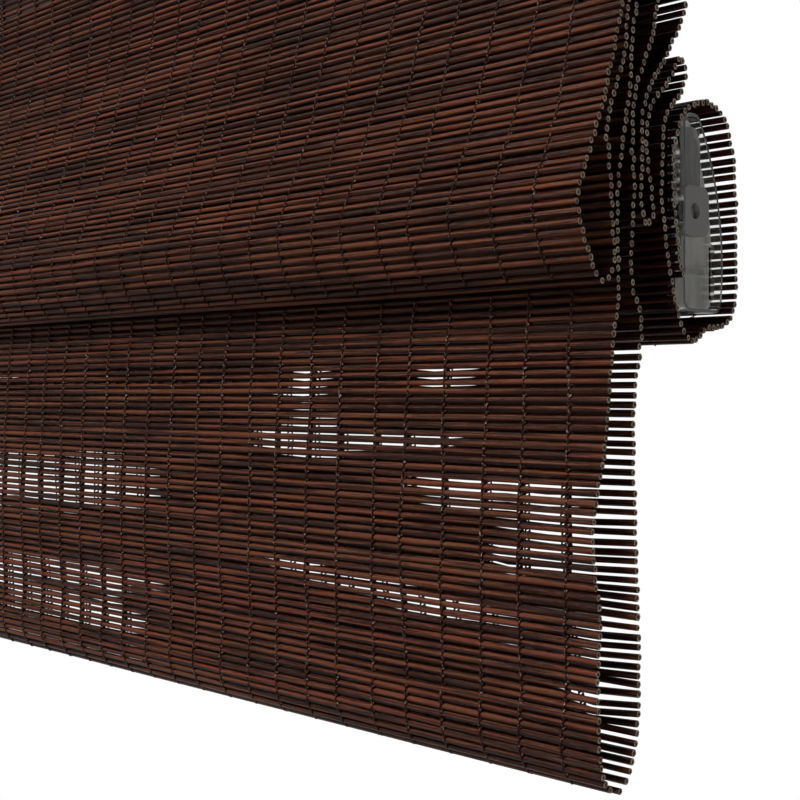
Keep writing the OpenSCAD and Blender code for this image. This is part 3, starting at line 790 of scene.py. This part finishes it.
class BLIND_OT_folded_stack(bpy.types.Operator):
    """Weaves the skirt, the small fold and the wrap round the bottom rail"""

    bl_idname = "blind.folded_stack"
    bl_label = "Weave folded stack"

    def execute(self, context):
        settings = context.scene.blind_reeds
        whole = read_mat("folded_stack")
        hem = int(np.argmin(whole.centres[:, 1]))
        loose = round(LOOSE_REEDS * settings.back_share)
        run = whole.respaced(hem - LOOSE_REEDS, hem, loose, settings.back_shift, fades=(3, 1))
        hem += loose - LOOSE_REEDS
        rail_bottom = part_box("bottom_rail_tube")[0][2]
        first = next(i for i in range(hem, 0, -1) if run.centres[i, 1] > rail_bottom - BACK_IN_VIEW)
        count = hem - first
        inner, skirt = run.part(0, first), run.part(first, len(run))
        heights, edge = np.array(SKIRT_EDGE).T * MM
        cut_back = np.where(np.arange(len(skirt)) > count, np.interp(skirt.centres[:, 1], heights, edge), 0)
        back, front = skirt.part(0, count + 2), skirt.part(count + 1, count + 1 + FRONT_REEDS)
        top = skirt.part(count + FRONT_REEDS, len(skirt))
        finishes, thread = mat_finishes(settings), thread_finish(settings)
        pieces = [weave_reeds("wrap_reeds", inner, settings, finishes, 31, FEW_BENDS),
                  weave_reeds("skirt_reeds", skirt, settings, finishes, 32, bends(settings),
                              slip=np.arange(1, count), cut_back=cut_back),
                  weave_threads("wrap_threads", inner, settings, thread, 33, steps=1, sides=3),
                  weave_threads("skirt_back_threads", back, settings, thread, 34, steps=2,
                                lean=settings.thread_lean),
                  weave_threads("skirt_front_threads", front, settings, thread, 35, steps=4),
                  weave_threads("skirt_top_threads", top, settings, thread, 36, steps=1, sides=3)]
        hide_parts("folded_stack")
        for piece in pieces:
            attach(piece, "bottom_rail")
        return {"FINISHED"}


class BLIND_OT_lift_cords(bpy.types.Operator):
    """Strings the two lift cords from the headrail to the spools"""

    bl_idname = "blind.lift_cords"
    bl_label = "String lift cords"

    def execute(self, context):
        material = keep_material("braided_cord", braided_cord)
        for side in ("left", "right"):
            low, high = (np.array(p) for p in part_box(f"lift_cord_{side}"))
            middle = (low + high) / 2
            radius = (high[0] - low[0]) / 2
            heights = np.linspace(low[2], high[2], CORD_LEVELS)
            turn = np.arange(CORD_SIDES) * 2 * np.pi / CORD_SIDES
            index = np.arange(CORD_LEVELS * CORD_SIDES).reshape(CORD_LEVELS, CORD_SIDES)
            points = np.stack([np.broadcast_to(middle[0] + radius * np.cos(turn), index.shape),
                               np.broadcast_to(middle[1] + radius * np.sin(turn), index.shape),
                               np.broadcast_to(heights[:, None], index.shape)], axis=-1)
            faces = tube_faces(index).tolist()
            faces += [index[0, ::-1].tolist(), index[-1].tolist()]
            cord = new_piece(f"lift_cord_{side}_braid", points.reshape(-1, 3).tolist(), faces, [material])
            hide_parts(f"lift_cord_{side}")
            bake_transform(cord)
        return {"FINISHED"}


# How far a staple's crown stands off the middle of its groove, as a share of a reed's diameter
CROWN_STAND = 0.4


class BLIND_OT_staples(bpy.types.Operator):
    """Staples the top of the mat to the headrail board"""

    bl_idname = "blind.staples"
    bl_label = "Staple mat"

    crown: bpy.props.FloatProperty(
        name="Crown", description="Width of a staple", default=10 * MM, unit="LENGTH")
    leg: bpy.props.FloatProperty(
        name="Leg", description="How far a leg goes into the board", default=6 * MM, unit="LENGTH")
    wire: bpy.props.FloatProperty(
        name="Wire", description="Thickness of the flat wire, half its height", default=0.6 * MM,
        unit="LENGTH")
    count: bpy.props.IntProperty(name="Count", description="Staples along the headrail", default=10)

    def execute(self, context):
        run = read_mat("front_panel")
        low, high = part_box("headrail_board")
        grooves = (run.centres[:-1] + run.centres[1:]) / 2
        y, z = grooves[np.argmin(np.abs(grooves[:, 1] - (low[2] + high[2]) / 2))]
        half, wire = self.crown / 2, self.wire
        front = y - context.scene.blind_reeds.reed_d * CROWN_STAND
        tip = low[1] + self.leg
        bent = np.array([(-half, tip), (-half, front - wire), (half, front - wire), (half, tip),
                         (half - wire, tip), (half - wire, front), (wire - half, front), (wire - half, tip)])
        below = np.arange(len(bent))
        above = below + len(bent)
        after = np.roll(below, -1)
        walls = np.stack([below, after, after + len(bent), above], axis=-1)
        flats = np.array(((0, 1, 6, 7), (1, 2, 5, 6), (2, 3, 4, 5)))
        one = np.concatenate([walls, below[flats], above[flats[:, ::-1]]])
        points, faces = [], []
        for x in np.linspace(low[0], high[0], self.count + 2)[1:-1]:
            faces += (one + len(points)).tolist()
            for height in (z - wire, z + wire):
                points += [(x + dx, dy, height) for dx, dy in bent]
        zinc = keep_material("zinc_steel", zinc_steel)
        staples = new_piece("headrail_staples", points, faces, [zinc], smooth=False)
        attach(staples, "headrail")
        return {"FINISHED"}


class BLIND_OT_hardware(bpy.types.Operator):
    """Gives the headrail, brackets, bottom rail and spring lift their finishes"""

    bl_idname = "blind.hardware"
    bl_label = "Finish hardware"

    def execute(self, context):
        white = moulded_plastic("white_plastic", (0.66, 0.65, 0.60, 1), (0.80, 0.79, 0.74, 1))
        grey = moulded_plastic("grey_plastic", (0.045, 0.048, 0.053, 1), (0.075, 0.078, 0.085, 1))
        steel, zinc, brass = bright_steel(), keep_material("zinc_steel", zinc_steel), turned_brass()
        milky, clear, metal, board = milky_plastic(), clear_plastic(), bronze_aluminium(), stained_board()
        finishes = {
            board: ["headrail_board"],
            zinc: ["wall_bracket_left", "wall_bracket_right", "bracket_screws"],
            brass: ["cord_stop_left", "cord_stop_right"],
            white: ["cord_rings", "cord_bush_left", "cord_bush_right", "spool_cradle_left",
                    "spool_cradle_right", "cord_spool_left", "cord_spool_right", "power_drum",
                    "storage_drum"],
            metal: ["bottom_rail_tube"],
            milky: ["end_cap_left", "end_cap_right"],
            grey: ["motor_case", "motor_cover"],
            steel: ["drum_axle", "lift_shaft", "flat_spring"],
        }
        for material, nodes in finishes.items():
            for node in nodes:
                finish_node(node, material)
        for node in finishes[milky]:
            finish_rim(node, clear)
        return {"FINISHED"}


# Soft boxes: name, place, the point that it looks at, size and power
LAMPS = (("key_lamp", (-0.15, -1.15, 1.15), (0.1, -0.05, -0.2), 0.9, 49),
         ("fill_lamp", (0.1, -1.5, 0.05), (0.1, -0.05, -0.2), 1.0, 4),
         ("end_lamp", (2.4, -0.04, -0.05), (0.3, -0.04, -0.18), 0.3, 4.5),
         ("back_lamp", (0.0, 1.5, 0.5), (0.0, -0.05, -0.2), 1.0, 4))

# Camera: the way that it looks, the width of its sensor in millimetres and the nearest thing that it sees
LOOK_ALONG = (-1, 1, 0)
SENSOR_WIDTH = 36
NEAREST = 0.01

# Half the side of the floor, and how bright it looks by itself
FLOOR_HALF = 4.0
FLOOR_GLOW = 0.95

# How much of the white room shows in a gloss
GLOSS_SHARE = 0.4


class BLIND_OT_stage(bpy.types.Operator):
    """Sets the camera, the lamps, the floor and the white background"""

    bl_idname = "blind.stage"
    bl_label = "Set stage"

    def execute(self, context):
        settings = context.scene.blind_stage
        scene = context.scene
        scene.view_settings.view_transform = "Standard"
        lens = bpy.data.cameras.new("photo_camera")
        lens.lens = settings.lens
        lens.sensor_width = SENSOR_WIDTH
        lens.shift_y = settings.horizon_shift
        lens.clip_start = NEAREST
        camera = bpy.data.objects.new("photo_camera", lens)
        camera.location = settings.camera_at
        camera.rotation_euler = Vector(LOOK_ALONG).to_track_quat("-Z", "Y").to_euler()
        scene.collection.objects.link(camera)
        scene.camera = camera
        for lamp in LAMPS:
            add_lamp(*lamp)
        set_world(scene, settings.world_strength)
        add_floor(settings.floor_z)
        return {"FINISHED"}


def add_lamp(name, at, aim, size, power):
    """A square soft box that looks at a point."""
    lamp = bpy.data.lights.new(name, "AREA")
    lamp.energy = power
    lamp.size = size
    holder = bpy.data.objects.new(name, lamp)
    holder.location = at
    holder.rotation_euler = (Vector(aim) - Vector(at)).to_track_quat("-Z", "Y").to_euler()
    bpy.context.scene.collection.objects.link(holder)


def seen_directly(start):
    """1 for what the camera sees, directly or in glass, less for gloss and 0 for light on the object."""
    path = start.tree.nodes.new("ShaderNodeLightPath")
    direct, gloss, glass = (Shade(start.tree, path.outputs[name])
                            for name in ("Is Camera Ray", "Is Glossy Ray", "Is Transmission Ray"))
    return start.node("ShaderNodeMath", {"operation": "ADD", "use_clamp": True},
                      i0=direct + gloss * GLOSS_SHARE, i1=glass)


def set_world(scene, strength):
    """White where it is seen, and an even dim light where it falls on the object."""
    world = bpy.data.worlds.new("studio")
    world.use_nodes = True
    scene.world = world
    start = Shade(world.node_tree, None)
    back = world.node_tree.nodes["Background"]
    back.inputs["Color"].default_value = (1, 1, 1, 1)
    level = strength + seen_directly(start) * (1 - strength)
    world.node_tree.links.new(level.socket, back.inputs["Strength"])


def add_floor(height):
    """A wide pale floor far below the blind, which looks white to the camera."""
    corners = [(x * FLOOR_HALF, y * FLOOR_HALF, height) for x, y in ((-1, -1), (1, -1), (1, 1), (-1, 1))]
    floor = new_piece("floor", corners, [(0, 1, 2, 3)], [])
    finish = Finish("pale_floor", Roughness=0.9)
    cloud = finish.noise((3, 3, 3), 2.0)
    finish.feed(Base_Color=cloud.mix((0.86, 0.86, 0.86, 1), (0.90, 0.90, 0.90, 1)))
    seen = seen_directly(finish.start)
    finish.shader.inputs["Emission Strength"].default_value = FLOOR_GLOW
    finish.feed(Emission_Color=seen.mix((0, 0, 0, 1), (1, 1, 1, 1)))
    floor.data.materials.append(finish.material)


class BLIND_PT_sidebar(bpy.types.Panel):
    """Lists the blind's operators and settings"""

    bl_idname = "BLIND_PT_sidebar"
    bl_label = "Woven blind"
    bl_space_type = "VIEW_3D"
    bl_region_type = "UI"
    bl_category = "Blind"

    def draw(self, context):
        for operator in OPERATORS:
            self.layout.operator(operator.bl_idname)
        for group in (context.scene.blind_reeds, context.scene.blind_stage):
            for name in group.__annotations__:
                self.layout.prop(group, name)


OPERATORS = (BLIND_OT_stage, BLIND_OT_lift_cords, BLIND_OT_front_panel, BLIND_OT_front_fold,
             BLIND_OT_folded_stack, BLIND_OT_staples, BLIND_OT_hardware)
CLASSES = (ReedSettings, StageSettings, *OPERATORS, BLIND_PT_sidebar)


def register():
    for cls in CLASSES:
        bpy.utils.register_class(cls)
    bpy.types.Scene.blind_reeds = bpy.props.PointerProperty(type=ReedSettings)
    bpy.types.Scene.blind_stage = bpy.props.PointerProperty(type=StageSettings)


def unregister():
    del bpy.types.Scene.blind_stage
    del bpy.types.Scene.blind_reeds
    for cls in reversed(CLASSES):
        bpy.utils.unregister_class(cls)


def main():
    register()
    bpy.ops.blind.stage()
    bpy.ops.blind.lift_cords()
    bpy.ops.blind.front_panel()
    bpy.ops.blind.front_fold()
    bpy.ops.blind.folded_stack()
    bpy.ops.blind.staples()
    bpy.ops.blind.hardware()


if __name__ == "__main__":
    main()
